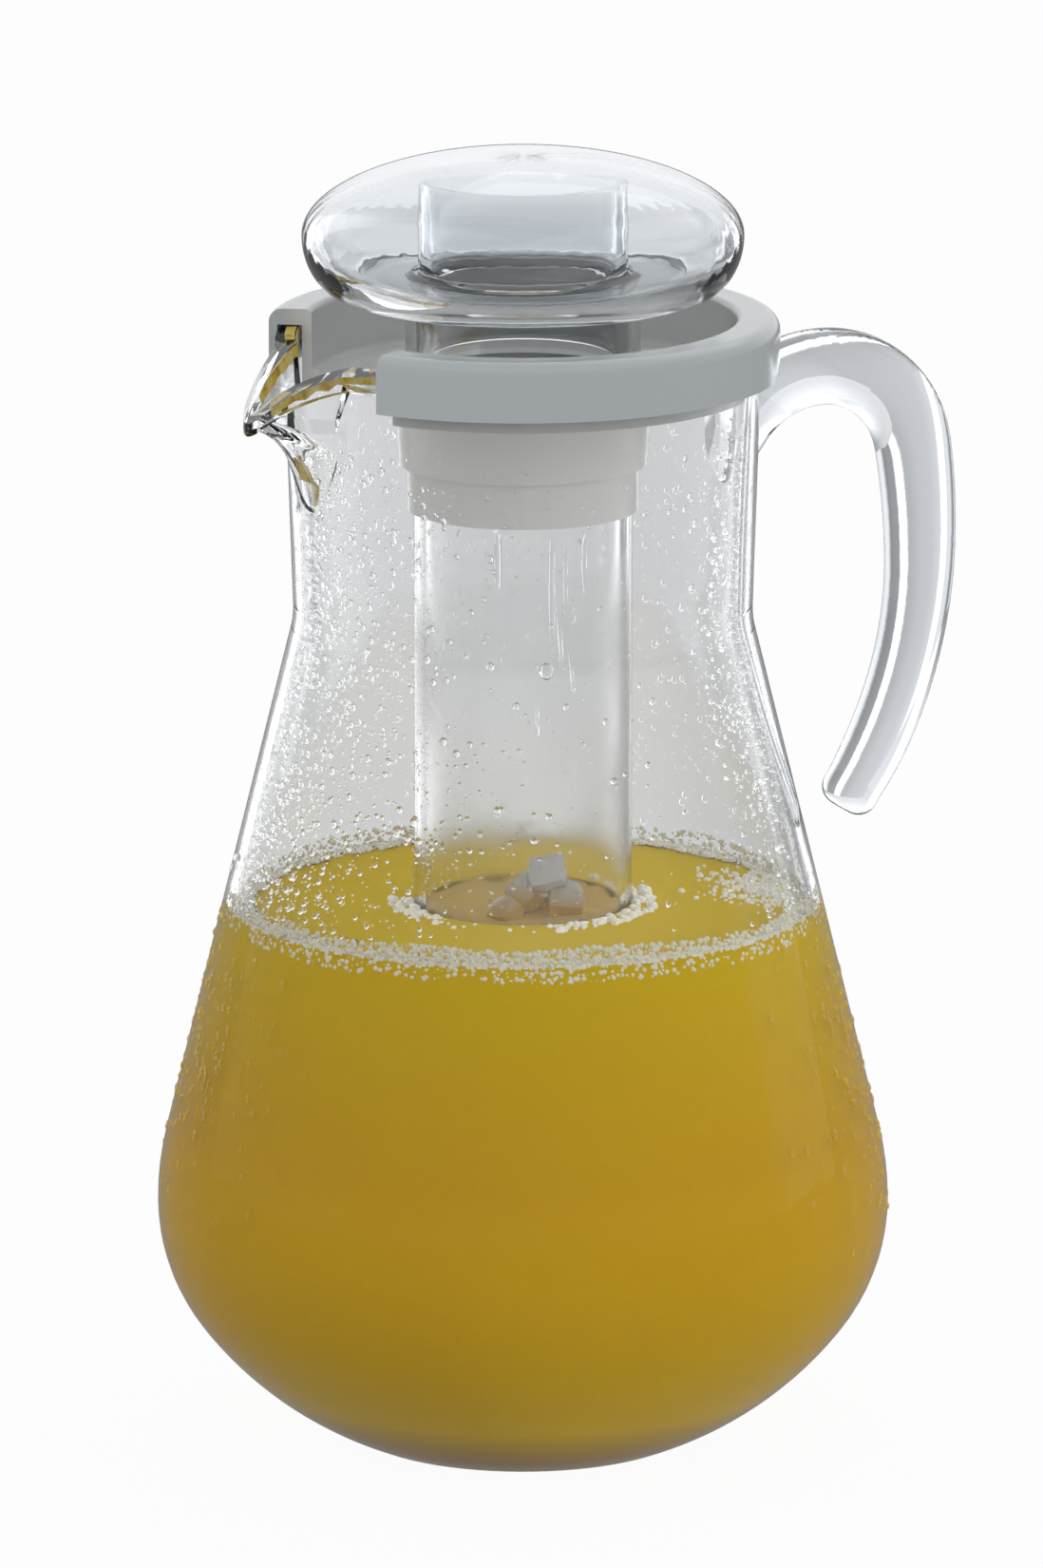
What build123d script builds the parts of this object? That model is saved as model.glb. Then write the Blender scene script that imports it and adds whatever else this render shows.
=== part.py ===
"""Juice jug with an ice tube: a clear pear-shaped jug, a grey collar lid with a stepped socket,
a clear closed tube for ice that hangs in the socket, and a hollow clear mushroom cap.

Millimetres. +Z is up and z = 0 is the table. The axis of the jug is Z, the spout points to -X
and the handle stands out to +X.
"""
import os
from math import asin, atan, cos, degrees, hypot, radians, sin, sqrt, tan

from build123d import *

# Clear jug: the outer skin of the bowl, from the base to the rim
belly_radius = 86.0
belly_z = 56.1
shoulder_arc = 68.0
cone_angle = 13.85
bilge_arc = 46.4
bilge_angle = 37.0
base_arc = 86.8
neck_radius = 55.7
neck_height = 67.12
waist_inset = 2.2
waist_round = 20.0
wall = 3.0
floor_wall = 4.0
foot_round = 2.0

# Bead round the rim, which the lid's skirt hides
bead_reach = 1.9
bead_height = 4.6
bead_round = 1.2

# Spout: a beak pulled out of the neck, with a thick band along its lip
spout_keel_drop = 34.8
spout_keel_arc = 18.5
spout_keel_foot_angle = 13.3
spout_keel_foot_lead = 8.0
spout_keel_end_angle = 72.0
spout_trough_end_angle = 78.0
spout_apex_gap = 3.3
spout_slope = 0.76
spout_flare_slope = 1.0
spout_flare_reach = 4.1
spout_depth = 15.0
lip_tip_reach = 14.0
lip_plan_slope = 1.02
lip_band_height = 4.2
lip_band_tip_height = 3.0
lip_tip_round = 9.0
lip_drop = 15.8
lip_run = 28.7

# Handle: one solid bar, rooted at the neck and free at its lower end
handle_top_drop = 14.3
handle_top_reach = 23.0
handle_root_arc = 30.0
handle_bend_arc = 24.4
handle_bend_angle = 81.0
handle_back_arc = 160.0
handle_belly_arc = 101.0
handle_belly_angle = 33.0
handle_bar_radius = 9.1
handle_tip_radius = 6.9
handle_root_half_height = 10.6
handle_root_half_width = 12.5
handle_root_lead = 13.0
handle_tip_length = 7.4
handle_tip_round = 4.5
bond_gap = 0.1

# Lid: a collar over the rim, a dish inside it, and a stepped socket for the tube
collar_reach = 4.0
collar_height = 13.5
collar_top_web = 3.8
collar_skirt = 2.0
collar_round = 3.2
collar_inset = 6.1
dish_depth = 14.8
dish_floor = 2.4
dish_round = 1.5
socket_wall = 1.3
socket_top_wall = 2.4
socket_depth = 17.0
guide_depth = 10.8
guide_wall = 1.3
ledge_web = 1.5
pour_half_angle = 31.8
pour_inner_gap = 3.8
pour_corner_round = 5.0

# Ice tube
tube_radius = 25.5
tube_wall = 2.6
tube_bottom_z = 38.0
tube_bottom_wall = 3.0
tube_bottom_round = 9.0
head_radius = 27.4
head_wall = 2.4
head_stand = 4.7
head_bore_depth = 17.0

# Soft ring between the tube's shoulder and the socket's ledge
gasket_height = 1.3

# Cap: a dome shell closed below by a disc that carries the plug
cap_radius = 51.3
cap_dome_height = 19.1
cap_lower_height = 14.0
cap_foot_radius = 40.5
cap_wall = 3.4
cap_disc_wall = 3.0
cap_disc_land = 2.2
plug_depth = 15.0
plug_wall = 2.8
plug_well_wall = 2.0
plug_well_height = 26.0
plug_round = 1.1

# Clearances
seat_gap = 0.3
lid_play = 0.4
tube_play = 0.3
plug_play = 0.35
overrun = 20.0

# Heights and radii that follow from the sizes above
waist_radius = neck_radius - waist_inset
lower_centre_r = belly_radius - bilge_arc
base_centre_r = lower_centre_r + (bilge_arc - base_arc) * cos(radians(bilge_angle))
base_centre_z = belly_z - (bilge_arc - base_arc) * sin(radians(bilge_angle))
shoulder_r = belly_radius - shoulder_arc * (1 - cos(radians(cone_angle)))
shoulder_z = belly_z + shoulder_arc * sin(radians(cone_angle))
waist_z = shoulder_z + (shoulder_r - waist_radius) / tan(radians(cone_angle))
rim_z = waist_z + neck_height
neck_slope = waist_inset / neck_height
foot_radius = base_centre_r + sqrt(base_arc**2 - base_centre_z**2)
lip_tip = neck_radius + lip_tip_reach
lip_arc = (lip_run**2 + lip_drop**2) / (2 * lip_drop)

handle_top_r = waist_radius + handle_top_reach
handle_top_z = rim_z - handle_top_drop
collar_radius = neck_radius + collar_reach
dish_radius = neck_radius - collar_inset
web_z = rim_z + seat_gap
collar_top_z = web_z + collar_top_web
collar_bottom_z = collar_top_z - collar_height
dish_z = collar_top_z - dish_depth
dish_under_z = dish_z - dish_floor
socket_bore = head_radius + tube_play
guide_bore = tube_radius + tube_play
socket_z = dish_under_z - socket_depth
guide_z = socket_z - guide_depth
ledge_z = socket_z + ledge_web
shoulder_seat_z = ledge_z + gasket_height
head_top_z = collar_top_z + head_stand
cap_foot_z = head_top_z + seat_gap
cap_belly_z = cap_foot_z + cap_lower_height
cap_top_z = cap_belly_z + cap_dome_height


def neck_r(z, inset=0):
    """Radius of the neck's skin at height z, or of its inner face for an inset of one wall."""
    return waist_radius + (z - waist_z) * neck_slope - inset / cos(atan(neck_slope))


def jug_outline(inset, floor_z, top_z):
    """Draws the half section of the bowl, cone and neck, drawn in by inset from the skin."""
    base_sag = degrees(asin((base_centre_z - floor_z) / (base_arc - inset)))
    floor_r = base_centre_r + sqrt((base_arc - inset) ** 2 - (base_centre_z - floor_z) ** 2)
    cone_r = shoulder_r - inset * cos(radians(cone_angle))
    cone_z = shoulder_z - inset * sin(radians(cone_angle))
    fall = tan(radians(cone_angle))
    bend_z = (cone_r + cone_z * fall - neck_r(0, inset)) / (fall + neck_slope)
    Line((0, floor_z), (floor_r, floor_z))
    CenterArc((base_centre_r, base_centre_z), base_arc - inset, -base_sag, base_sag - bilge_angle)
    CenterArc((lower_centre_r, belly_z), bilge_arc - inset, -bilge_angle, bilge_angle)
    CenterArc((belly_radius - shoulder_arc, belly_z), shoulder_arc - inset, 0, cone_angle)
    Line((cone_r, cone_z), (neck_r(bend_z, inset), bend_z))
    Line((neck_r(bend_z, inset), bend_z), (neck_r(top_z, inset), top_z))
    Line((neck_r(top_z, inset), top_z), (0, top_z))
    Line((0, top_z), (0, floor_z))
    return (neck_r(bend_z, inset), bend_z)


def beak_section(nose, apex, slope):
    """Draws a level section of the beak: two straight sides that meet in a rounded nose."""
    length = apex - neck_radius + spout_depth
    with BuildSketch(mode=Mode.PRIVATE) as wedge:
        with BuildLine():
            Polyline(
                (length - apex, length * slope),
                (-apex, 0),
                (length - apex, -length * slope),
                close=True,
            )
        make_face()
        fillet(wedge.vertices().group_by(Axis.X)[0], (apex - nose) / (hypot(1, slope) / slope - 1))
    add(wedge.sketch)


def beak(inset, apex, end_angle, thin):
    """Builds the solid beak, drawn in by inset: a curved keel below and flaring sides above."""
    slope = spout_slope - thin / (apex - neck_radius + wall)
    arc = spout_keel_arc + inset
    centre = neck_radius + spout_keel_arc
    keel_z = rim_z - spout_keel_drop
    foot = radians(spout_keel_foot_angle)
    lead = spout_keel_foot_lead
    places = [(centre - arc * cos(foot) - lead * sin(foot), keel_z + arc * sin(foot) - lead * cos(foot))]
    for share in (0, 0.28, 0.58, 0.82, 1):
        angle = foot + (radians(end_angle) - foot) * share
        places.append((centre - arc * cos(angle), keel_z + arc * sin(angle)))
    with BuildPart(mode=Mode.PRIVATE) as solid:
        for nose, height in places:
            with BuildSketch(Plane.XY.offset(height)):
                beak_section(nose, apex, slope)
        loft()
        nose, height = places[-1]
        with BuildSketch(Plane.XY.offset(height)):
            beak_section(nose, apex, slope)
        top_slope = spout_flare_slope - thin / (apex - neck_radius + wall)
        with BuildSketch(Plane.XY.offset(rim_z + bead_height)):
            beak_section(nose + spout_flare_reach, apex + spout_flare_reach, top_slope)
        loft()
    return solid.part


def quarter_round(flat_r, wide_r, wide_z, flat_z):
    """Draws a quarter ellipse from its upright end at the widest radius to its level end."""
    bow_share = 0.5523
    Bezier(
        (wide_r, wide_z),
        (wide_r, wide_z + (flat_z - wide_z) * bow_share),
        (flat_r + (wide_r - flat_r) * bow_share, flat_z),
        (flat_r, flat_z),
    )


os.makedirs("parts", exist_ok=True)

# Jug body: bowl, cone, neck, rim bead and spout in one wall
with BuildPart() as jug_body:
    with BuildSketch(Plane.XZ) as skin:
        with BuildLine():
            bend = jug_outline(0, 0, rim_z)
        make_face()
        fillet(skin.vertices().sort_by_distance((bend[0], bend[1], 0))[0], waist_round)
        fillet(skin.vertices().sort_by_distance((foot_radius, 0, 0))[0], foot_round)
    revolve(axis=Axis.Z)
    with BuildSketch(Plane.XZ) as bead:
        bead_foot = rim_z - bead_height - bead_reach
        with BuildLine():
            Polyline(
                (neck_radius - wall / 2, rim_z),
                (neck_radius + bead_reach, rim_z),
                (neck_radius + bead_reach, rim_z - bead_height),
                (neck_r(bead_foot), bead_foot),
                (neck_radius - wall / 2, bead_foot),
                close=True,
            )
        make_face()
        fillet(bead.vertices().group_by(Axis.X)[-1], bead_round)
    revolve(axis=Axis.Z)
    spout_apex = neck_radius + spout_keel_arc * (1 - cos(radians(spout_keel_end_angle))) + spout_apex_gap
    add(beak(0, spout_apex, spout_keel_end_angle, 0))
    with BuildPart(mode=Mode.PRIVATE) as lip_band:
        with BuildSketch(Plane.XY.offset(rim_z - lip_drop - lip_band_height)):
            band_apex = lip_tip + lip_tip_round * (hypot(1, lip_plan_slope) / lip_plan_slope - 1)
            beak_section(lip_tip, band_apex, lip_plan_slope)
        extrude(amount=lip_drop + lip_band_height)
        with BuildSketch(Plane.XZ):
            band_tip_z = rim_z - lip_drop - lip_band_tip_height
            band_rim_z = rim_z - lip_band_height
            with BuildLine():
                RadiusArc((-lip_tip, rim_z - lip_drop), (lip_run - lip_tip, rim_z), lip_arc)
                Line((lip_run - lip_tip, rim_z), (lip_run - lip_tip, band_rim_z))
                RadiusArc((-lip_tip, band_tip_z), (lip_run - lip_tip, band_rim_z), lip_arc)
                Line((-lip_tip, band_tip_z), (-lip_tip, rim_z - lip_drop))
            make_face()
        extrude(amount=neck_radius, both=True, mode=Mode.INTERSECT)
    add(lip_band.part)
    with BuildSketch(Plane.XZ):
        with BuildLine():
            RadiusArc((-lip_tip, rim_z - lip_drop), (lip_run - lip_tip, rim_z), lip_arc)
            Polyline(
                (lip_run - lip_tip, rim_z),
                (0, rim_z),
                (0, rim_z + overrun),
                (-lip_tip - overrun, rim_z + overrun),
                (-lip_tip - overrun, rim_z - lip_drop),
                (-lip_tip, rim_z - lip_drop),
            )
        make_face()
    extrude(amount=belly_radius, both=True, mode=Mode.SUBTRACT)
    with BuildSketch(Plane.XZ) as bore:
        with BuildLine():
            bend = jug_outline(wall, floor_wall, rim_z + overrun)
        make_face()
        fillet(bore.vertices().sort_by_distance((bend[0], bend[1], 0))[0], waist_round + wall)
    revolve(axis=Axis.Z, mode=Mode.SUBTRACT)
    trough_nose = neck_radius + spout_keel_arc - (spout_keel_arc + wall) * cos(radians(spout_trough_end_angle))
    trough_thin = wall * hypot(1, spout_slope)
    trough = beak(wall, trough_nose + bond_gap + seat_gap, spout_trough_end_angle, trough_thin)
    add(trough, mode=Mode.SUBTRACT)
jug_body.part.label = "jug_body"
export_step(jug_body.part, "parts/jug_body.step")

# Handle: a round bar that leaves the neck, bends over and hangs free
with BuildPart() as handle:
    root_angle = asin((handle_top_r - waist_radius) / handle_root_arc)
    root_z = handle_top_z - handle_root_arc * (1 - cos(root_angle))
    inner_end = (
        waist_radius - handle_root_lead * cos(root_angle),
        root_z - handle_root_lead * sin(root_angle),
    )
    with BuildLine(Plane.XZ) as handle_path:
        lead = Line(inner_end, (waist_radius, root_z))
        root = JernArc(lead @ 1, lead % 1, handle_root_arc, -degrees(root_angle))
        arch = JernArc(root @ 1, root % 1, handle_bend_arc, -handle_bend_angle)
        back = JernArc(arch @ 1, arch % 1, handle_back_arc, handle_bend_angle - 90)
        JernArc(back @ 1, back % 1, handle_belly_arc, -handle_belly_angle)
    route = handle_path.wire()
    lead_share = lead.length / route.length
    arch_share = (lead.length + root.length + arch.length) / route.length
    for share in (0, 0.15, 0.3, 0.45, 0.6, 0.8, 1):
        root_part = max(1 - share / lead_share / 2, 0) ** 2
        taper = max(share - arch_share, 0) / (1 - arch_share)
        half = handle_bar_radius + (handle_tip_radius - handle_bar_radius) * taper
        half_width = half + (handle_root_half_width - handle_bar_radius) * root_part
        half_height = half + (handle_root_half_height - handle_bar_radius) * root_part
        with BuildSketch(Plane(origin=route @ share, x_dir=(0, 1, 0), z_dir=route % share)):
            Ellipse(half_width, half_height)
    sweep(path=route, multisection=True)
    with BuildSketch(Plane(origin=route @ 1, x_dir=(0, 1, 0), z_dir=route % 1)):
        Circle(handle_tip_radius)
    extrude(amount=handle_tip_length)
    fillet(handle.faces().filter_by(GeomType.PLANE).sort_by(Axis.Z)[0].edges(), handle_tip_round)
    with BuildSketch(Plane.XZ) as neck_core:
        with BuildLine():
            jug_outline(-bond_gap, 0, rim_z)
        make_face()
    revolve(axis=Axis.Z, mode=Mode.SUBTRACT)
    with BuildSketch(Plane.XY.offset(collar_bottom_z - seat_gap)):
        Circle(collar_radius + lid_play)
    extrude(amount=overrun, mode=Mode.SUBTRACT)
handle.part.label = "handle"
export_step(handle.part, "parts/handle.step")

# Lid: collar, dish and socket are one moulding, notched for the spout
with BuildPart() as lid:
    inner_skirt = neck_r(dish_under_z, wall) - lid_play
    outer_skirt = collar_radius - collar_skirt
    with BuildSketch(Plane.XZ) as lid_section:
        with BuildLine():
            Polyline(
                (collar_radius, collar_bottom_z),
                (collar_radius, collar_top_z),
                (dish_radius, collar_top_z),
                (dish_radius, dish_z),
                (socket_bore, dish_z),
                (socket_bore, ledge_z),
                (guide_bore, ledge_z),
                (guide_bore, guide_z),
                (guide_bore + guide_wall, guide_z),
                (guide_bore + guide_wall, socket_z),
                (socket_bore + socket_wall, socket_z),
                (socket_bore + socket_top_wall, dish_under_z),
                (inner_skirt, dish_under_z),
                (inner_skirt, web_z),
                (outer_skirt, web_z),
                (outer_skirt, collar_bottom_z),
                close=True,
            )
        make_face()
        fillet(lid_section.vertices().sort_by_distance((collar_radius, collar_top_z, 0))[0], collar_round)
        fillet(lid_section.vertices().sort_by_distance((dish_radius, collar_top_z, 0))[0], dish_round)
        fillet(lid_section.vertices().sort_by_distance((dish_radius, dish_z, 0))[0], dish_round)
    revolve(axis=Axis.Z)
    notch_end = socket_bore + socket_top_wall + pour_inner_gap
    notch_slope = tan(radians(pour_half_angle))
    with BuildSketch(Plane.XY.offset(guide_z)) as notch:
        with BuildLine():
            Polyline(
                (-notch_end, notch_end * notch_slope),
                (-collar_radius - overrun, (collar_radius + overrun) * notch_slope),
                (-collar_radius - overrun, -(collar_radius + overrun) * notch_slope),
                (-notch_end, -notch_end * notch_slope),
                close=True,
            )
        make_face()
        fillet(notch.vertices().group_by(Axis.X)[-1], pour_corner_round)
    extrude(amount=collar_top_z - guide_z + overrun, mode=Mode.SUBTRACT)
lid.part.label = "lid"
export_step(lid.part, "parts/lid.step")

# Soft ring that the tube's shoulder sits on
with BuildPart() as tube_gasket:
    with BuildSketch(Plane.XY.offset(ledge_z)):
        Circle(head_radius)
        Circle(guide_bore, mode=Mode.SUBTRACT)
    extrude(amount=gasket_height)
tube_gasket.part.label = "tube_gasket"
export_step(tube_gasket.part, "parts/tube_gasket.step")

# Ice tube: closed below, with a wide head that hangs in the lid's socket
with BuildPart() as ice_tube:
    tube_bore = tube_radius - tube_wall
    head_bore = head_radius - head_wall
    bore_step_z = head_top_z - head_bore_depth
    with BuildSketch(Plane.XZ) as tube_section:
        with BuildLine():
            Polyline(
                (0, tube_bottom_z),
                (tube_radius, tube_bottom_z),
                (tube_radius, shoulder_seat_z),
                (head_radius, shoulder_seat_z),
                (head_radius, head_top_z),
                (head_bore, head_top_z),
                (head_bore, bore_step_z),
                (tube_bore, bore_step_z - tube_wall),
                (tube_bore, tube_bottom_z + tube_bottom_wall),
                (0, tube_bottom_z + tube_bottom_wall),
                close=True,
            )
        make_face()
        outer_corner = tube_section.vertices().sort_by_distance((tube_radius, tube_bottom_z, 0))[0]
        fillet(outer_corner, tube_bottom_round)
        inner_corner = (tube_bore, tube_bottom_z + tube_bottom_wall, 0)
        fillet(tube_section.vertices().sort_by_distance(inner_corner)[0], tube_bottom_round - tube_wall)
    revolve(axis=Axis.Z)
ice_tube.part.label = "ice_tube"
export_step(ice_tube.part, "parts/ice_tube.step")

# Cap dome: a hollow clear shell with an opening below for the disc
with BuildPart() as cap_top:
    with BuildSketch(Plane.XZ) as dome:
        with BuildLine():
            quarter_round(0, cap_radius, cap_belly_z, cap_top_z)
            Polyline((0, cap_top_z), (0, cap_foot_z), (cap_foot_radius, cap_foot_z))
            quarter_round(cap_foot_radius, cap_radius, cap_belly_z, cap_foot_z)
        make_face()
    revolve(axis=Axis.Z)
    with BuildSketch(Plane.XZ) as hollow:
        inner_foot = cap_foot_radius - cap_wall
        inner_radius = cap_radius - cap_wall
        with BuildLine():
            quarter_round(0, inner_radius, cap_belly_z, cap_top_z - cap_wall)
            Polyline(
                (0, cap_top_z - cap_wall),
                (0, cap_foot_z),
                (inner_foot, cap_foot_z),
                (inner_foot, cap_foot_z + cap_wall),
            )
            quarter_round(inner_foot, inner_radius, cap_belly_z, cap_foot_z + cap_wall)
        make_face()
    revolve(axis=Axis.Z, mode=Mode.SUBTRACT)
    with BuildSketch(Plane.XY.offset(cap_foot_z)):
        Circle(inner_foot + cap_disc_land)
    extrude(amount=cap_disc_wall + bond_gap, mode=Mode.SUBTRACT)
cap_top.part.label = "cap_top"
export_step(cap_top.part, "parts/cap_top.step")

# Cap base: the disc, the plug below it and the well wall above it
with BuildPart() as cap_base:
    plug_radius = head_bore - plug_play
    disc_radius = inner_foot + cap_disc_land - bond_gap
    well_top_z = cap_foot_z + plug_well_height
    with BuildSketch(Plane.XZ) as plug_section:
        with BuildLine():
            Polyline(
                (plug_radius - plug_wall, cap_foot_z - plug_depth),
                (plug_radius, cap_foot_z - plug_depth),
                (plug_radius, cap_foot_z),
                (disc_radius, cap_foot_z),
                (disc_radius, cap_foot_z + cap_disc_wall),
                (plug_radius, cap_foot_z + cap_disc_wall),
                (plug_radius - plug_wall + plug_well_wall, well_top_z),
                (plug_radius - plug_wall, well_top_z),
                close=True,
            )
        make_face()
        fillet(plug_section.vertices().group_by(Axis.Y)[0], plug_round)
        well_foot = (plug_radius, cap_foot_z + cap_disc_wall, 0)
        fillet(plug_section.vertices().sort_by_distance(well_foot)[0], cap_wall)
    revolve(axis=Axis.Z)
cap_base.part.label = "cap_base"
export_step(cap_base.part, "parts/cap_base.step")

print("height", cap_top_z, "foot radius", foot_radius, "waist", waist_z)
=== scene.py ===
"""Looks of the juice jug: clear plastic jug, handle, ice tube and cap, a satin grey lid,
orange juice with foam and droplets, and ice in the tube.

Sizes are in millimetres, as on the drawing, and become metres as each piece is made. Heights
in the finishes are in metres, as their coordinates are.
"""
import math
import random

import bpy
from mathutils import Matrix, Vector, noise


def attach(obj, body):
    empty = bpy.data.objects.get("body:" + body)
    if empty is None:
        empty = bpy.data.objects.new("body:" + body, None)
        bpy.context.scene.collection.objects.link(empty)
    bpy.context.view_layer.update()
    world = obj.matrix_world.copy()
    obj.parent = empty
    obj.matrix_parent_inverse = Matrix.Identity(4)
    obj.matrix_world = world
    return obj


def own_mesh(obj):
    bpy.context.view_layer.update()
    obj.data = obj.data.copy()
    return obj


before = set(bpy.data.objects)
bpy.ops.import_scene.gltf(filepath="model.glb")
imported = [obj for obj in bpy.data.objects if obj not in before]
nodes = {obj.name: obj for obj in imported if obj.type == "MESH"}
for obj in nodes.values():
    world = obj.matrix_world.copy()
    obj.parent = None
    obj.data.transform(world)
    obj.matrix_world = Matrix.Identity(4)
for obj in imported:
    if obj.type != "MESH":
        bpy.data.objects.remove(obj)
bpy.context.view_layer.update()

MM = 0.001
chance = random.Random(7)

# The bowl is three arcs: a shoulder that runs into the cone, a bilge and a base
belly_radius, belly_z, shoulder_arc, cone_angle = 86.0, 56.1, 68.0, math.radians(13.85)
bilge_arc, bilge_angle, base_arc = 46.4, math.radians(37.0), 86.8
waist_radius, rim_z, neck_radius = 53.5, 263.3, 55.7
wall, floor_wall = 3.0, 4.0
bilge_centre_r = belly_radius - bilge_arc
base_centre_r = bilge_centre_r + (bilge_arc - base_arc) * math.cos(bilge_angle)
base_centre_z = belly_z - (bilge_arc - base_arc) * math.sin(bilge_angle)
shoulder_r = belly_radius - shoulder_arc * (1 - math.cos(cone_angle))
shoulder_z = belly_z + shoulder_arc * math.sin(cone_angle)
waist_z = shoulder_z + (shoulder_r - waist_radius) / math.tan(cone_angle)
juice_z = 127.5
tube_radius, tube_bore, tube_floor_z = 25.5, 22.9, 41.0
dome_roof_z = 302.1

# The eye stands 24 degrees round from the jug's front, towards the spout
eye_turn = math.radians(-24.0)
# The side of the jug that faces the eye, as an angle from +X
front = math.radians(-114.0)


# ---- camera, room and light ----

def aim_camera():
    """A long lens from the front, a little above the rim and turned towards the spout side."""
    rise, far = math.radians(13.2), 3.0
    to_eye = Vector((
        math.sin(eye_turn) * math.cos(rise),
        -math.cos(eye_turn) * math.cos(rise),
        math.sin(rise),
    ))
    right = Vector((math.cos(eye_turn), math.sin(eye_turn), 0))
    aim = Vector((0, 0, 0.15567)) - right * 0.00033
    lens = bpy.data.cameras.new("eye")
    lens.lens = 294.55
    lens.sensor_width = 36
    eye = bpy.data.objects.new("eye", lens)
    eye.location = aim + to_eye * far
    eye.rotation_euler = (-to_eye).to_track_quat("-Z", "Y").to_euler()
    bpy.context.scene.collection.objects.link(eye)
    bpy.context.scene.camera = eye


aim_camera()


class Socket:
    """An output of a finish's node that takes part in sums and products."""

    def __init__(self, finish, output):
        self.finish = finish
        self.output = output

    def maths(self, operation, first, second):
        return self.finish.node("Math", {"operation": operation}, {0: first, 1: second})

    def __add__(self, other):
        return self.maths("ADD", self, other)

    def __mul__(self, other):
        return self.maths("MULTIPLY", self, other)

    __radd__ = __add__
    __rmul__ = __mul__


class Finish:
    """A surface finish, built node by node and ended in a shader."""

    def __init__(self, name, tree=None):
        if tree is None:
            self.material = bpy.data.materials.new(name)
            self.material.use_nodes = True
            tree = self.material.node_tree
        tree.nodes.clear()
        self.tree = tree

    def node(self, kind, settings=None, values=None, output=0):
        """Adds a node: its settings first, then the values or links of its sockets."""
        made = self.tree.nodes.new("ShaderNode" + kind)
        for name, value in (settings or {}).items():
            if name == "stops":
                set_stops(made.color_ramp, value)
            else:
                setattr(made, name, value)
        for name, value in (values or {}).items():
            if isinstance(value, Socket):
                self.tree.links.new(value.output, made.inputs[name])
            else:
                made.inputs[name].default_value = value
        return Socket(self, made.outputs[output]) if made.outputs else None

    def place(self):
        return self.node("TexCoord", output="Object")

    def height(self):
        return self.node("SeparateXYZ", None, {0: self.place()}, output="Z")

    def noise(self, scale, detail=2.0, stretch=(1, 1, 1)):
        spot = self.node("Mapping", None, {"Vector": self.place(), "Scale": stretch})
        return self.node("TexNoise", None, {"Vector": spot, "Scale": scale, "Detail": detail})

    def mix(self, share, first, second):
        settings = {"data_type": "RGBA"}
        return self.node("Mix", settings, {0: share, 6: first, 7: second}, output=2)

    def ramp(self, value, stops):
        return self.node("ValToRGB", {"stops": stops}, {"Fac": value})

    def spread(self, value, low, high, to_low=0.0, to_high=1.0):
        values = {"Value": value, 1: low, 2: high, 3: to_low, 4: to_high}
        return self.node("MapRange", {"clamp": True}, values)

    def bump(self, height, strength, distance):
        values = {"Height": height, "Strength": strength, "Distance": distance}
        return self.node("Bump", None, values)

    def surface(self, **values):
        """Ends the finish in a Principled shader; names are socket names without spaces."""
        named = {name.replace("_", " "): value for name, value in values.items()}
        shader = self.node("BsdfPrincipled", None, named)
        self.node("OutputMaterial", None, {"Surface": shader})
        return self.material


def set_stops(ramp, stops):
    for index, (place, colour) in enumerate(stops):
        stop = ramp.elements[index] if index < 2 else ramp.elements.new(place)
        stop.position = place
        stop.color = (*colour, 1)


def around(finish, direction, tones):
    """Faintly cool tones round the studio, by degrees from straight behind the jug to the right."""
    back = (-math.sin(eye_turn), math.cos(eye_turn), 0)
    right = (math.cos(eye_turn), math.sin(eye_turn), 0)
    dot = {"operation": "DOT_PRODUCT"}
    deep = finish.node("VectorMath", dot, {0: direction, 1: back}, output="Value")
    wide = finish.node("VectorMath", dot, {0: direction, 1: right}, output="Value")
    angle = finish.node("Math", {"operation": "ARCTAN2"}, {0: wide, 1: deep})
    stops = [(0.5 + degrees / 360, (tone, tone * 1.01, tone * 1.03)) for degrees, tone in tones]
    return finish.ramp(angle * (0.5 / math.pi) + 0.5, stops)


# Dark flags left and right of the jug draw its outlines; beyond them the room is white
LOW_TONES = (
    (-180, 0.35), (-130, 0.3), (-100, 0.45), (-66, 1.25), (-60, 1.15), (-55, 0.22), (-49, 0.22),
    (-41, 0.95), (-16, 0.6), (0, 0.52), (18, 0.42), (32, 0.26), (44, 0.2), (52, 1.2), (66, 1.3),
    (100, 0.5), (130, 0.35), (180, 0.35),
)
# Higher up, and all that is mirrored above the horizon: a broad light behind, windows beside it
HIGH_TONES = (
    (-180, 0.3), (-60, 0.36), (-50, 0.45), (-47, 1.5), (-31, 1.5), (-27, 0.9), (0, 0.95), (36, 0.8),
    (60, 0.45), (73, 0.45), (77, 0.52), (86, 0.52), (91, 0.34), (180, 0.3),
)
# The share of the lifted light from each side: less from the left and from straight behind
SIDE_TONES = (
    (-180, 0.95), (-150, 0.68), (-120, 0.45), (-70, 0.5), (-42, 0.95), (-22, 0.25), (22, 0.25),
    (42, 0.95), (180, 0.95),
)
# What the clear plastic shows of the floor: two bright bands draw the streaks along its edges
FLOOR_TONES = (
    (-180, 0.5), (-110, 0.45), (-66, 1.1), (-60, 1.1), (-55, 0.3), (-49, 0.3), (-42, 1.0),
    (-31, 0.95), (-29, 2.2), (-21, 2.2), (-19, 0.85), (-7, 0.70), (4, 0.66), (14, 0.56), (18, 0.54),
    (20, 1.9), (27, 1.9), (29, 0.38), (44, 0.28), (52, 1.15), (66, 1.25), (100, 0.8), (180, 0.6),
)
# The studio overhead
CEILING = (0.7, 0.7, 0.72)
# The sky for rays that have passed through clear plastic, and for rays from matt surfaces
LIFT = (2.2, 2.2, 2.2)
EVEN = (0.62, 0.63, 0.64)
# What a glossy surface mirrors of the floor
TABLE = (0.26, 0.26, 0.27)


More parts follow.
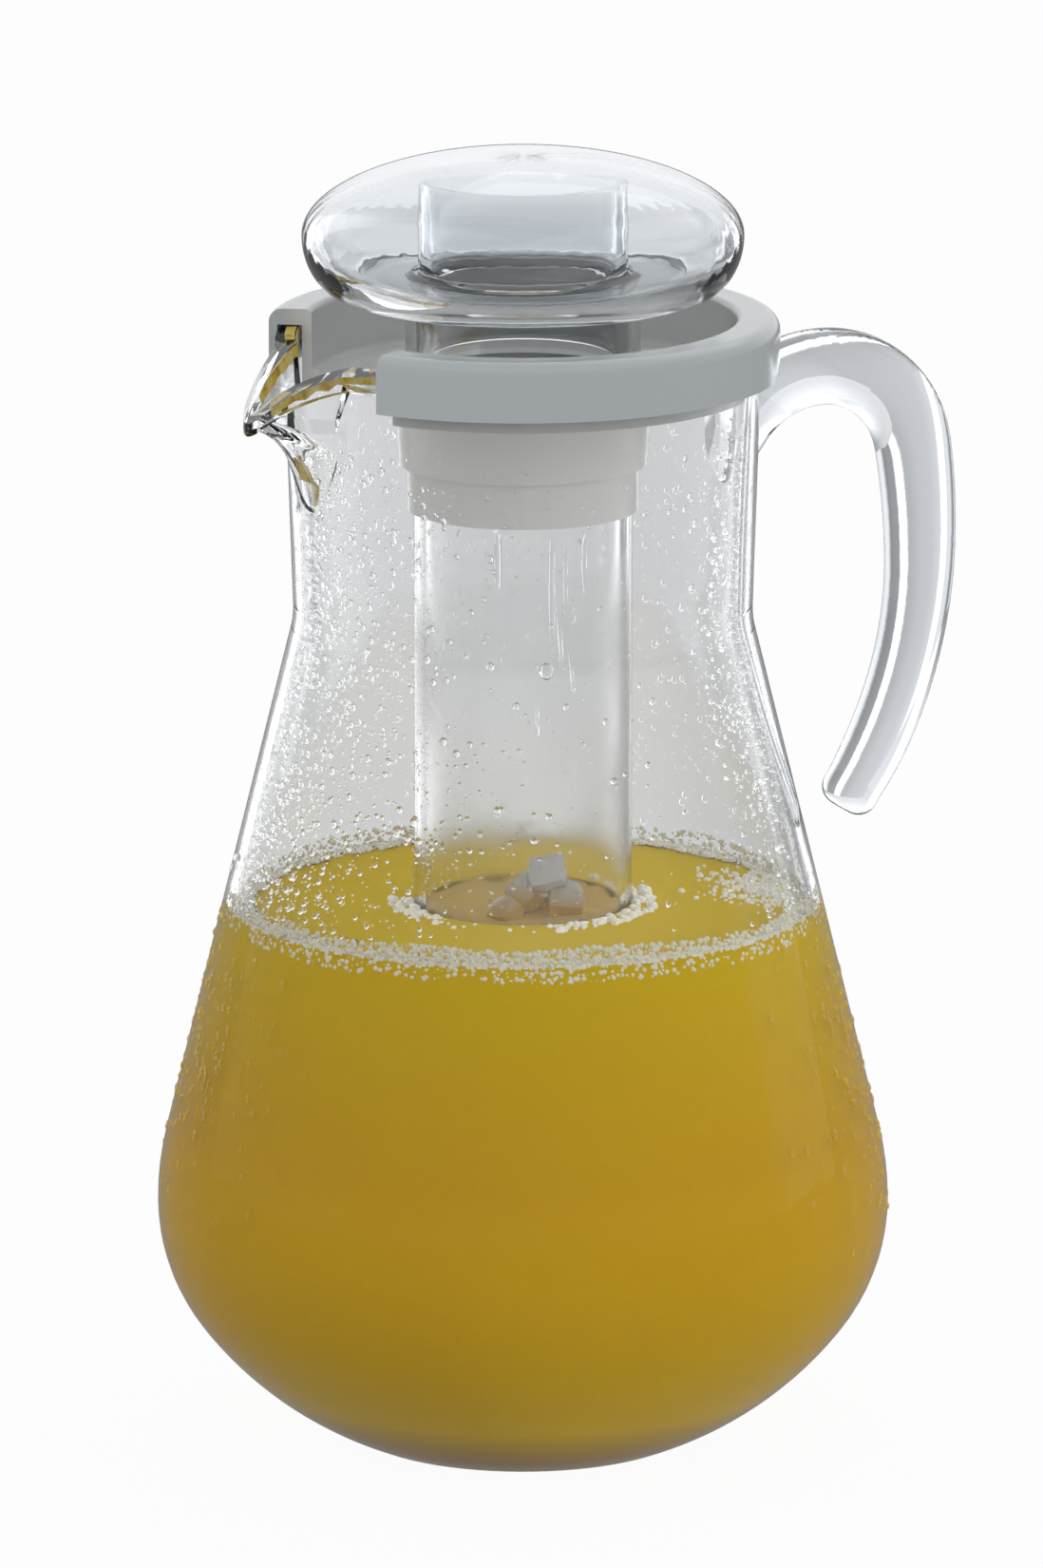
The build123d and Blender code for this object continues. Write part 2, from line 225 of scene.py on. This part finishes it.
def light_room():
    """White to the eye, the studio to everything else, and one broad lamp above and behind."""
    scene = bpy.context.scene
    scene.view_settings.view_transform = "Standard"
    world = bpy.data.worlds.new("room")
    scene.world = world
    world.use_nodes = True
    room = Finish("room", world.node_tree)
    sky = room.node("TexCoord", output="Generated")
    up = room.node("SeparateXYZ", None, {0: sky}, output="Z")
    high = room.spread(up, 0.13, 0.2) + room.node("LightPath", output="Is Glossy Ray")
    studio = room.mix(high, around(room, sky, LOW_TONES), around(room, sky, HIGH_TONES))
    studio = room.mix(room.spread(up, 0.58, 0.75), studio, (*CEILING, 1))
    # What stands inside clear plastic gets the light back that its walls take
    through = room.node("LightPath", output="Is Transmission Ray") * room.spread(up, 0.05, 0.3)
    share = through * 0.8 * around(room, sky, SIDE_TONES)
    studio = room.mix(share, studio, (*LIFT, 1))
    matt = room.node("LightPath", output="Is Diffuse Ray")
    studio = room.mix(matt, studio, (*EVEN, 1))
    camera = room.node("LightPath", output="Is Camera Ray")
    seen = room.mix(camera, studio, (1, 1, 1, 1))
    glow = room.node("Background", None, {"Color": seen, "Strength": 1.0})
    room.node("OutputWorld", None, {"Surface": glow})

    lamp = bpy.data.lights.new("softbox", "AREA")
    lamp.shape = "RECTANGLE"
    lamp.size, lamp.size_y = 1.6, 1.0
    lamp.energy = 2.0
    box = bpy.data.objects.new("softbox", lamp)
    box.location = (0.75, 0.55, 1.35)
    box.rotation_euler = (Vector((0, 0, 0.15)) - box.location).to_track_quat("-Z", "Y").to_euler()
    scene.collection.objects.link(box)


def lay_floor():
    """A floor that is white to the eye and part of the studio to clear and glossy surfaces."""
    bpy.ops.object.select_all(action="DESELECT")
    bpy.ops.mesh.primitive_plane_add(size=12, location=(0, 0, 0))
    floor = bpy.context.object
    floor.name = "floor"
    paint = Finish("floor_white")
    pale = paint.node("BsdfDiffuse", None, {"Color": (0.86, 0.86, 0.86, 1)})
    white = paint.node("Emission", None, {"Color": (1, 1, 1, 1), "Strength": 1.0})
    spot = paint.node("VectorMath", {"operation": "NORMALIZE"}, {0: paint.place()})
    tones = around(paint, spot, FLOOR_TONES)
    studio = paint.node("Emission", None, {"Color": tones, "Strength": 1.0})
    table = paint.node("Emission", None, {"Color": (*TABLE, 1), "Strength": 1.0})
    camera = paint.node("LightPath", output="Is Camera Ray")
    glossy = paint.node("LightPath", output="Is Glossy Ray")
    through = paint.node("LightPath", output="Is Transmission Ray")
    seen = paint.node("MixShader", None, {0: camera * 0.96, 1: pale, 2: white})
    mirrored = paint.node("MixShader", None, {0: glossy, 1: seen, 2: table})
    shown = paint.node("MixShader", None, {0: through, 1: mirrored, 2: studio})
    paint.node("OutputMaterial", None, {"Surface": shown})
    floor.data.materials.append(paint.material)


light_room()
lay_floor()


# ---- helpers that make pieces ----

def arc(centre_r, centre_z, radius, start, end, steps):
    """Points of an arc in the half section, angles from the radius towards +Z."""
    points = []
    for step in range(steps + 1):
        angle = start + (end - start) * step / steps
        points.append((centre_r + radius * math.cos(angle), centre_z + radius * math.sin(angle)))
    return points


def start_piece(name):
    """Names the active object and its mesh."""
    piece = bpy.context.object
    piece.name = piece.data.name = name
    return piece


def turned(name, section, steps=192):
    """Turns a half section of (radius, height) points round the jug's axis."""
    bpy.ops.object.select_all(action="DESELECT")
    bpy.ops.mesh.primitive_circle_add(vertices=len(section), radius=MM)
    piece = start_piece(name)
    for vertex, (radius, height) in zip(piece.data.vertices, section):
        vertex.co = (radius * MM, 0, height * MM)
    bpy.ops.object.mode_set(mode="EDIT")
    bpy.ops.mesh.select_all(action="SELECT")
    bpy.ops.mesh.spin(steps=steps, angle=2 * math.pi, center=(0, 0, 0), axis=(0, 0, 1))
    bpy.ops.mesh.select_all(action="SELECT")
    bpy.ops.mesh.remove_doubles(threshold=0.00001)
    bpy.ops.mesh.delete_loose(use_faces=False)
    bpy.ops.mesh.select_all(action="SELECT")
    bpy.ops.mesh.normals_make_consistent(inside=False)
    bpy.ops.object.mode_set(mode="OBJECT")
    return piece


def finish_piece(piece, material, body, degrees=40):
    """Shades a piece smooth where its faces meet by less than an angle, and puts it on a body."""
    bpy.ops.object.select_all(action="DESELECT")
    piece.select_set(True)
    bpy.context.view_layer.objects.active = piece
    bpy.ops.object.shade_smooth_by_angle(angle=math.radians(degrees))
    piece.data.materials.append(material)
    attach(piece, body)


def neck_r(z, inset):
    """Radius of the neck, which widens a little from the waist to the rim."""
    slope = (neck_radius - waist_radius) / (rim_z - waist_z)
    return waist_radius + (z - waist_z) * slope - inset / math.cos(math.atan(slope))


def cone_r(z, inset):
    """Radius of the cone between the bowl and the neck."""
    return shoulder_r - (z - shoulder_z) * math.tan(cone_angle) - inset / math.cos(cone_angle)


def jug_r(z, inset=0.0):
    """Radius of the jug's skin at height z, drawn in by inset."""
    if z > shoulder_z:
        return max(cone_r(z, inset), neck_r(z, inset))
    if z > belly_z:
        arm = shoulder_arc - inset
        return belly_radius - shoulder_arc + math.sqrt(arm**2 - (z - belly_z) ** 2)
    if z > base_centre_z - (base_arc - inset) * math.sin(bilge_angle):
        return bilge_centre_r + math.sqrt((bilge_arc - inset) ** 2 - (z - belly_z) ** 2)
    return base_centre_r + math.sqrt((base_arc - inset) ** 2 - (z - base_centre_z) ** 2)


def bowl_section(inset, floor_z):
    """Half section of the bowl from the floor up to its shoulder, drawn in by inset."""
    sag = math.asin((base_centre_z - floor_z) / (base_arc - inset))
    points = arc(base_centre_r, base_centre_z, base_arc - inset, -sag, -bilge_angle, 10)
    points += arc(bilge_centre_r, belly_z, bilge_arc - inset, -bilge_angle, 0, 12)[1:]
    points += arc(belly_radius - shoulder_arc, belly_z, shoulder_arc - inset, 0, cone_angle, 6)[1:]
    return points


def dome_shape(rings, segments):
    """The upper half of a ball of radius 1, to copy."""
    bpy.ops.object.select_all(action="DESELECT")
    bpy.ops.mesh.primitive_uv_sphere_add(segments=segments, ring_count=rings * 2, radius=1)
    ball = bpy.context.object
    bpy.ops.object.mode_set(mode="EDIT")
    bpy.ops.mesh.select_all(action="SELECT")
    bpy.ops.mesh.bisect(plane_co=(0, 0, 0), plane_no=(0, 0, 1), clear_inner=True, threshold=0.001)
    bpy.ops.object.mode_set(mode="OBJECT")
    return ball


def joined(name, parts):
    """One piece of several objects."""
    bpy.ops.object.select_all(action="DESELECT")
    for part in parts:
        part.select_set(True)
    bpy.context.view_layer.objects.active = parts[0]
    bpy.ops.object.join()
    return start_piece(name)


def copies(name, shape, places):
    """One piece of many copies of a shape, one at each place, in metres."""
    made = []
    for place in places:
        copy = shape.copy()
        copy.data = shape.data.copy()
        copy.data.transform(place)
        bpy.context.scene.collection.objects.link(copy)
        made.append(copy)
    return joined(name, made)


def on_wall(turn, z, radius, inward, size, squat, stretch=1.0):
    """Place of a drop on a round wall: at a turn from the front, bulging inwards or outwards."""
    angle = front + turn
    lean = cone_angle if shoulder_z < z < waist_z else 0.0
    out = Vector((
        math.cos(angle) * math.cos(lean), math.sin(angle) * math.cos(lean), math.sin(lean),
    ))
    away = -out if inward else out
    spin = away.to_track_quat("Z", "Y").to_matrix().to_4x4()
    spot = Vector((radius * math.cos(angle), radius * math.sin(angle), z)) * MM
    scale = Matrix.Diagonal((size * MM, size * MM * stretch, size * MM * squat, 1))
    return Matrix.Translation(spot) @ spin @ scale


def on_level(turn, z, radius, size):
    """Place of a bubble on the juice's surface, at a turn from the front."""
    angle = front + turn
    spot = Vector((radius * math.cos(angle), radius * math.sin(angle), z)) * MM
    return Matrix.Translation(spot) @ Matrix.Scale(size * MM, 4)


# ---- finishes ----

def clear_plastic(name, tint):
    """Polished clear plastic with the faint waves of a moulding."""
    finish = Finish(name)
    return finish.surface(
        Base_Color=(*tint, 1),
        Roughness=0.015,
        IOR=1.5,
        Transmission_Weight=1.0,
        Normal=finish.bump(finish.noise(30.0, 1.0), 0.04, 0.002),
    )


def water():
    """Drops of dew, each a little uneven."""
    finish = Finish("water_drops")
    return finish.surface(
        Base_Color=(0.97, 0.98, 0.98, 1),
        Roughness=0.0,
        IOR=1.33,
        Transmission_Weight=1.0,
        Normal=finish.bump(finish.noise(900.0), 0.1, 0.0003),
    )


def juice_finish():
    """Matt juice with painted shade and a painted highlight by height: brown at its foot, brightest
    just above it, and with pulp and slow clouds of colour.
    """
    finish = Finish("orange_juice")
    pulp = finish.noise(1400.0, 3.0)
    cloud = finish.noise(28.0, 3.0)
    # Painted shade and highlight by height: a dark brown foot, a painted highlight band just above
    # it, darker again halfway up
    painted_light_by_height = finish.ramp(finish.spread(finish.height(), 0.0, 0.13), [
        (0.00, (0.20, 0.09, 0.003)),
        (0.05, (0.36, 0.18, 0.003)),
        (0.13, (0.99, 0.70, 0.008)),
        (0.35, (0.86, 0.55, 0.008)),
        (0.60, (0.73, 0.45, 0.008)),
        (0.93, (0.76, 0.56, 0.008)),
    ])
    colour = finish.mix(pulp * 0.5, painted_light_by_height, (0.78, 0.54, 0.010, 1))
    colour = finish.mix(cloud * 0.3, colour, (0.72, 0.39, 0.006, 1))
    return finish.surface(Base_Color=colour, Roughness=0.5, Specular_IOR_Level=0.0)


def foam_finish():
    """Pale cream bubbles with a wet gloss."""
    finish = Finish("juice_foam")
    tone = finish.noise(420.0, 2.0)
    return finish.surface(
        Base_Color=finish.mix(tone, (0.97, 0.92, 0.68, 1), (1.0, 0.99, 0.93, 1)),
        Roughness=finish.spread(finish.noise(260.0), 0.35, 0.65, 0.08, 0.25),
        Coat_Weight=0.5,
    )


def ice_finish(name, wet):
    """Cloudy white ice, wet or dull, with the juice's orange light painted on at the juice's level.
    """
    finish = Finish(name)
    cracks = finish.noise(180.0, 4.0)
    height = finish.height()
    # A painted band of the juice's orange light, shining through and bouncing off it, at the
    # juice's level
    level = finish.spread(height, 0.1235, 0.126) * finish.spread(height, 0.134, 0.1295)
    white = finish.mix(cracks, (0.94, 0.94, 0.94, 1), (1.0, 1.0, 1.0, 1))
    return finish.surface(
        Base_Color=finish.mix(level * 0.85, white, (0.93, 0.58, 0.06, 1)),
        Roughness=finish.spread(cracks, 0.3, 0.7, 0.08, 0.3),
        IOR=1.31,
        Specular_IOR_Level=0.5 * wet,
        Transmission_Weight=0.3 * wet,
        Normal=finish.bump(finish.noise(320.0, 3.0), 0.3, 0.001),
    )


def misted_plastic():
    """The ice tube's clear plastic, misted by the cold, most of all halfway up."""
    finish = Finish("clear_tube_plastic")
    drift = finish.noise(34.0, 3.0, (1, 1, 0.5))
    height = finish.height()
    middle = finish.spread(height, 0.127, 0.146) * finish.spread(height, 0.222, 0.19)
    return finish.surface(
        Base_Color=finish.mix(drift, (0.99, 0.99, 0.985, 1), (1.0, 1.0, 1.0, 1)),
        Roughness=middle * finish.spread(drift, 0.35, 0.65, 0.06, 0.30) + 0.015,
        IOR=1.45,
        Transmission_Weight=1.0,
        Normal=finish.bump(finish.noise(30.0, 1.0), 0.04, 0.002),
    )


def residue_finish():
    """Golden streaks of juice, thinner where they are paler."""
    finish = Finish("dried_juice")
    streaks = finish.noise(330.0, 4.0, (1, 1, 0.5))
    colour = finish.ramp(streaks, [
        (0.34, (0.50, 0.27, 0.01)),
        (0.46, (0.88, 0.60, 0.03)),
        (0.62, (1.0, 0.86, 0.30)),
    ])
    return finish.surface(
        Base_Color=colour,
        Roughness=0.18,
        Alpha=finish.spread(streaks, 0.34, 0.6, 1.0, 0.8),
    )


def lid_finish():
    """Satin grey, painted paler inside the collar as painted light; the collar has a thin gloss of
    its own.
    """
    finish = Finish("lid_grey")
    flat = finish.node("Mapping", None, {"Vector": finish.place(), "Scale": (1, 1, 0)})
    from_axis = finish.node("VectorMath", {"operation": "LENGTH"}, {0: flat}, output="Value")
    collar = finish.spread(from_axis, 0.049, 0.057)
    outer = finish.mix(finish.noise(9.0), (0.555, 0.59, 0.60, 1), (0.59, 0.625, 0.63, 1))
    return finish.surface(
        # Paler grey inside the collar: painted light where the cap shades the dish and socket
        Base_Color=finish.mix(collar, (0.92, 0.92, 0.90, 1), outer),
        Roughness=finish.spread(finish.noise(40.0), 0.3, 0.7, 0.2, 0.27),
        Coat_Weight=collar * 0.6,
        Coat_Roughness=0.12,
        Normal=finish.bump(finish.noise(2400.0), 0.012, 0.0001),
    )


def gasket_finish():
    finish = Finish("gasket_rubber")
    return finish.surface(
        Base_Color=finish.mix(finish.noise(300.0), (0.62, 0.63, 0.62, 1), (0.68, 0.69, 0.68, 1)),
        Roughness=0.6,
        Normal=finish.bump(finish.noise(1500.0), 0.1, 0.0002),
    )


clear_cap = clear_plastic("clear_cap_plastic", (0.895, 0.915, 0.93))
drops = water()
juice_orange = juice_finish()
foam = foam_finish()
residue = residue_finish()

for name, material in {
    "jug_body": clear_plastic("clear_body_plastic", (0.965, 0.97, 0.968)),
    "handle": clear_plastic("clear_handle_plastic", (0.84, 0.865, 0.885)),
    "lid": lid_finish(),
    "tube_gasket": gasket_finish(),
    "ice_tube": misted_plastic(),
    "cap_top": clear_cap,
    "cap_base": clear_cap,
}.items():
    nodes[name].data.materials.clear()
    nodes[name].data.materials.append(material)


# ---- juice ----

def make_juice():
    """Juice up to its level, a little into the jug's wall, with a round well for the ice tube."""
    inset, foot = wall - 0.35, floor_wall - 0.4
    hole = tube_radius + 0.3
    side = [(0, foot)] + bowl_section(inset, foot)
    side += [(jug_r(z, inset), z) for z in (85, 100, 115, juice_z - 1.5, juice_z + 0.6)]
    inner = jug_r(juice_z, inset)
    surface = [(inner - 1.2, juice_z + 0.15), (inner - 3.0, juice_z)]
    surface += [(hole + 14, juice_z), (hole + 2.5, juice_z), (hole, juice_z + 0.5)]
    well = [(hole, juice_z - 4), (hole, 60), (hole, 37.2), (hole - 3, 36.2), (0, 36.2)]
    juice = turned("juice", side + surface + well)
    finish_piece(juice, juice_orange, "jug", 50)


def make_well(name, gap):
    """The lining of the tube's well, which closes as the tube leaves the juice."""
    radius, foot = tube_radius + gap, tube_floor_z - 3 - gap
    section = [(0, foot), (radius - 8, foot), (radius - 2.4, foot + 2.6), (radius, foot + 8)]
    section += [(radius, 80), (radius, juice_z + 0.3), (radius + 0.25, juice_z + 0.3)]
    section += [(radius + 0.25, 80), (radius + 0.25, foot + 7.8), (radius - 2.2, foot + 2.2)]
    section += [(radius - 8, foot - 0.4), (0, foot - 0.4)]
    cup = turned(name, section)
    finish_piece(cup, juice_orange, "jug")
    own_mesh(cup)


RING_BUBBLES, PATCH_BUBBLES, TUBE_BUBBLES = 7600, 600, 260


def make_foam():
    """Bubbles in an uneven ring at the wall, a patch at the right and a few beside the tube."""
    places = []
    edge = jug_r(juice_z, wall)
    for _ in range(RING_BUBBLES):
        turn = chance.uniform(-math.pi, math.pi)
        if chance.random() < 0.3:
            turn = chance.gauss(0, math.radians(38))
        lumps = noise.noise(Vector((math.cos(turn) * 2.2, math.sin(turn) * 2.2, 3.1)))
        band = 3.0 + 3.6 * max(0.0, lumps + 0.35)
        size = 0.36 + 0.8 * chance.random() ** 2.5
        on_the_wall = chance.random() < 0.55
        if on_the_wall:
            height = juice_z + chance.uniform(-3.0, 4.2 + 2.0 * lumps)
            radius = jug_r(height, wall) - 0.1
            places.append(on_wall(turn, height, radius, abs(turn) > math.pi / 2, 0.75 * size, 1.0))
        else:
            radius = edge - 0.2 - chance.random() ** 1.5 * band
            height = juice_z + 0.1 + 0.3 * chance.random()
            places.append(on_level(turn, height, radius, size))
    for _ in range(PATCH_BUBBLES):
        turn = chance.gauss(math.radians(102), math.radians(9))
        radius = edge - 1 - abs(chance.gauss(0, 8.5))
        places.append(on_level(turn, juice_z, radius, 0.35 + 0.7 * chance.random() ** 2))
    for _ in range(TUBE_BUBBLES):
        turn = chance.gauss(math.radians(62), math.radians(36))
        if chance.random() < 0.3:
            turn = chance.gauss(math.radians(-68), math.radians(16))
        radius = tube_radius + 0.9 + 5.0 * chance.random() ** 2
        places.append(on_level(turn, juice_z, radius, 0.5 + 1.0 * chance.random() ** 2))
    bubble = dome_shape(2, 6)
    finish_piece(copies("juice_foam", bubble, places), foam, "jug", 180)
    bpy.data.meshes.remove(bubble.data)


make_juice()
make_well("juice_well_lid", 0.06)
make_well("juice_well_tube", 0.12)
make_foam()


# ---- droplets ----

def dew_density(turn, z):
    """How thick the drops stand on the inner wall: most at the two sides, few in front."""
    degrees = math.degrees(turn)
    left = math.exp(-(((degrees + 66) / 31) ** 2))
    right = math.exp(-(((degrees - 74) / 17) ** 2)) * (1.0 if z > 150 else 0.35)
    rear = 0.16 if abs(degrees) > 100 else 0.0
    return min(1.0, left + right + rear + 0.03)


INSIDE_DROPS, OUTSIDE_DROPS, TUBE_DROPS = 6800, 640, 520
# Melt water that runs down the tube's inside: turn in degrees, height, width, squat and length
MELT_STREAKS = (
    (16, 207, 0.9, 0.9, 15), (24, 209, 0.7, 0.9, 12), (21, 196, 0.6, 0.9, 13),
    (13, 188, 1.7, 0.7, 1.3), (28, 188, 0.5, 0.9, 14), (-14, 214, 0.9, 0.9, 8),
    (36, 213, 0.8, 0.9, 9), (8, 176, 0.5, 0.9, 9),
)
# Beads under the roof of the cap: x, y and size
ROOF_BEADS = (
    (-9, -3, 1.5), (-4.5, -4.5, 1.7), (2, 2.5, 1.6), (8, -1, 1.8), (11, 4, 1.4), (-1, 8, 1.2),
)


def make_dew():
    """Drops inside and outside the jug, on the tube, and under the roof of the cap."""
    dome = dome_shape(2, 8)
    places = []
    while len(places) < INSIDE_DROPS:
        turn = chance.uniform(-math.pi, math.pi)
        z = chance.uniform(129, 243)
        if chance.random() > dew_density(turn, z):
            continue
        size = 0.24 + 0.72 * chance.random() ** 3.5
        stretch = chance.uniform(0.92, 1.2)
        places.append(on_wall(turn, z, jug_r(z, wall) + 0.05, True, size, 0.8, stretch))
    finish_piece(copies("dew_inside", dome, places), drops, "jug", 180)

    places = []
    while len(places) < OUTSIDE_DROPS:
        turn = math.radians(chance.choice((chance.gauss(-72, 13), chance.gauss(74, 10))))
        z = chance.gauss(98, 20)
        if not 52 < z < 140:
            continue
        size = 0.4 + 0.8 * chance.random() ** 2.5
        stretch = chance.uniform(0.9, 1.4)
        places.append(on_wall(turn, z, jug_r(z) - 0.08, False, size, 0.5, stretch))
    finish_piece(copies("dew_outside", dome, places), drops, "jug", 180)

    places = []
    while len(places) < TUBE_DROPS:
        turn = chance.gauss(math.radians(-48), math.radians(34))
        if chance.random() < 0.3:
            turn = chance.uniform(-math.pi, math.pi)
        z = chance.uniform(131, 220)
        size = 0.25 + 0.55 * chance.random() ** 3
        stretch = chance.uniform(0.95, 1.3)
        places.append(on_wall(turn, z, tube_radius - 0.06, False, size, 0.75, stretch))
    for turn, z, size, squat, stretch in MELT_STREAKS:
        places.append(on_wall(math.radians(turn), z, tube_bore + 0.05, True, size, squat, stretch))
    finish_piece(copies("dew_on_tube", dome, places), drops, "ice_tube", 180)
    bpy.data.meshes.remove(dome.data)

    places = []
    for x, y, size in ROOF_BEADS:
        spot = Vector((x, y, dome_roof_z - 0.02 * (x * x + y * y) + 0.1)) * MM
        hanging = Matrix.Diagonal((size * MM, size * MM, -0.5 * size * MM, 1))
        places.append(Matrix.Translation(spot) @ hanging)
    bead = dome_shape(4, 16)
    beads = copies("dew_under_dome", bead, places)
    beads.data.flip_normals()
    finish_piece(beads, drops, "cap", 180)
    bpy.data.meshes.remove(bead.data)


make_dew()


# ---- dried juice on the spout ----

# The spout's keel is an arc in its middle plane, and its trough a V with a round nose
keel_centre, keel_z, keel_arc = neck_radius + 18.5, rim_z - 34.8, 21.5
keel_foot, keel_top = 0.23, 0.978
trough_apex, trough_slope = 70.13, 0.544
# It flares above a height: how far up, how far out and how much it opens
flare_z, flare_rise, flare_out, flare_open = 249.5, 18.4, 4.1, 0.24
lip_tip, lip_run, lip_arc = neck_radius + 14.0, 28.7, 33.96


def trough_r(turn, z):
    """Radius of the spout's inner face at a turn from its middle, or of the neck if wider."""
    apex, slope = trough_apex, trough_slope
    lift = min(max((z - keel_z) / keel_arc, keel_foot), keel_top)
    nose = keel_centre - keel_arc * math.sqrt(1 - lift**2)
    if z > flare_z:
        share = (z - flare_z) / flare_rise
        nose += flare_out * share
        apex += flare_out * share
        slope += flare_open * share
    span = math.hypot(1, slope)
    curve = (apex - nose) / (span / slope - 1)
    middle = nose - curve
    reach = (apex - middle) / span
    touch = math.atan2(reach * slope / span, apex - reach / span)
    turn = abs(turn)
    if turn < touch:
        radius = middle * math.cos(turn) + math.sqrt(curve**2 - (middle * math.sin(turn)) ** 2)
    else:
        radius = slope * apex / (math.sin(turn) + slope * math.cos(turn))
    if z < keel_z + keel_foot * keel_arc:
        radius = 0
    return max(radius, neck_r(z, wall))


def lip_z(turn):
    """Height of the lip at a turn from the middle of the spout."""
    height = rim_z - 8
    for _ in range(12):
        ahead = max(trough_r(turn, height) * math.cos(turn) - (lip_tip - lip_run), 0)
        height = rim_z - lip_arc + math.sqrt(max(lip_arc**2 - ahead**2, 0))
    return height


def film(name, rows, thick):
    """A thin skin of dried juice through rows of points."""
    across, along = len(rows[0]) - 1, len(rows) - 1
    bpy.ops.object.select_all(action="DESELECT")
    bpy.ops.mesh.primitive_grid_add(x_subdivisions=across, y_subdivisions=along, size=MM)
    skin = start_piece(name)
    for vertex, point in zip(skin.data.vertices, [point for row in rows for point in row]):
        vertex.co = Vector(point) * MM
    shell = skin.modifiers.new("skin", "SOLIDIFY")
    shell.thickness = thick * MM
    shell.offset = 0
    bpy.ops.object.modifier_apply(modifier="skin")
    finish_piece(skin, residue, "jug", 60)


def spout_point(turn, z, in_by=0.15):
    """A point on the spout's inner face, drawn in by a little."""
    radius = trough_r(turn, z) - in_by
    return (-radius * math.cos(turn), radius * math.sin(turn), z)


def make_residue():
    """Dried juice along both lips, on the far end of the rim and at the foot of the spout."""
    for side, name in ((-1, "residue_near_lip"), (1, "residue_far_lip")):
        rows = []
        for step in range(41):
            turn = side * math.radians(3 + 29 * step / 40)
            top = lip_z(turn) - 0.15
            deep = (3.4 if side < 0 else 2.2) + 0.9 * noise.noise(Vector((step * 0.35, side, 1)))
            rows.append([spout_point(turn, top - deep * part) for part in (0, 0.25, 0.5, 0.75, 1)])
        film(name, rows, 0.25)
    rows = []
    for step in range(12):
        turn = math.radians(20 + 11.2 * step / 11)
        top = lip_z(turn) + 0.14
        inner = trough_r(turn, top) + 0.3
        rows.append([
            (-radius * math.cos(turn), radius * math.sin(turn), top)
            for radius in (inner, inner + 0.8, inner + 1.6, inner + 2.3)
        ])
    film("residue_far_rim", rows, 0.2)
    rows = []
    for step in range(9):
        z = 240 - 13 * step / 8
        half = 0.045 * math.sin(math.pi * (step + 0.6) / 9.4)
        rows.append([spout_point(half * part, z, 0.3) for part in (-1, -0.5, 0, 0.5, 1)])
    film("residue_drop", rows, 0.7)


make_residue()


# ---- ice ----

# The lumps of ice: centre and size
ICE_LUMPS = (
    (1.2, -11.6, 136.5, 7), (-8.8, -11.5, 128.5, 5), (3.9, -13.7, 130, 7), (-1, -5, 130.5, 7),
    (9, 3, 129, 6),
)


def make_ice():
    """What is left of the ice: a few rounded lumps on top of the bed."""
    lumps = []
    for x, y, z, size in ICE_LUMPS:
        bpy.ops.object.select_all(action="DESELECT")
        bpy.ops.mesh.primitive_cube_add(size=size * MM)
        lump = bpy.context.object
        bpy.ops.object.mode_set(mode="EDIT")
        bpy.ops.mesh.select_all(action="SELECT")
        bpy.ops.mesh.subdivide(number_cuts=5, smoothness=0.3)
        bpy.ops.object.mode_set(mode="OBJECT")
        spin = Matrix.Rotation(z, 4, (x, y, size))
        for vertex in lump.data.vertices:
            point = spin @ vertex.co
            point *= 0.95 + 0.4 * noise.noise(point * 190 + Vector((x, y, z)))
            vertex.co = point + Vector((x, y, z)) * MM
        lumps.append(lump)
    finish_piece(joined("ice", lumps), ice_finish("ice", 1.0), "ice_tube", 35)


def make_ice_bed():
    """Crushed ice that fills the foot of the tube to the juice's level."""
    reach = tube_bore - 0.2
    section = [(0, 42), (reach - 8, 42), (reach - 1.5, 46), (reach, 52)]
    section += [(reach, 127.6), (reach - 1.5, 128), (reach - 9, 127.2)]
    section += [(reach - 16, 127), (0, 127.5)]
    bed = turned("ice_bed", section, 96)
    for vertex in bed.data.vertices:
        if vertex.co.z > 126 * MM:
            vertex.co.z += 1.4 * MM * noise.noise(vertex.co * 180)
    finish_piece(bed, ice_finish("ice_bed", 0.0), "ice_tube", 60)


make_ice_bed()
make_ice()
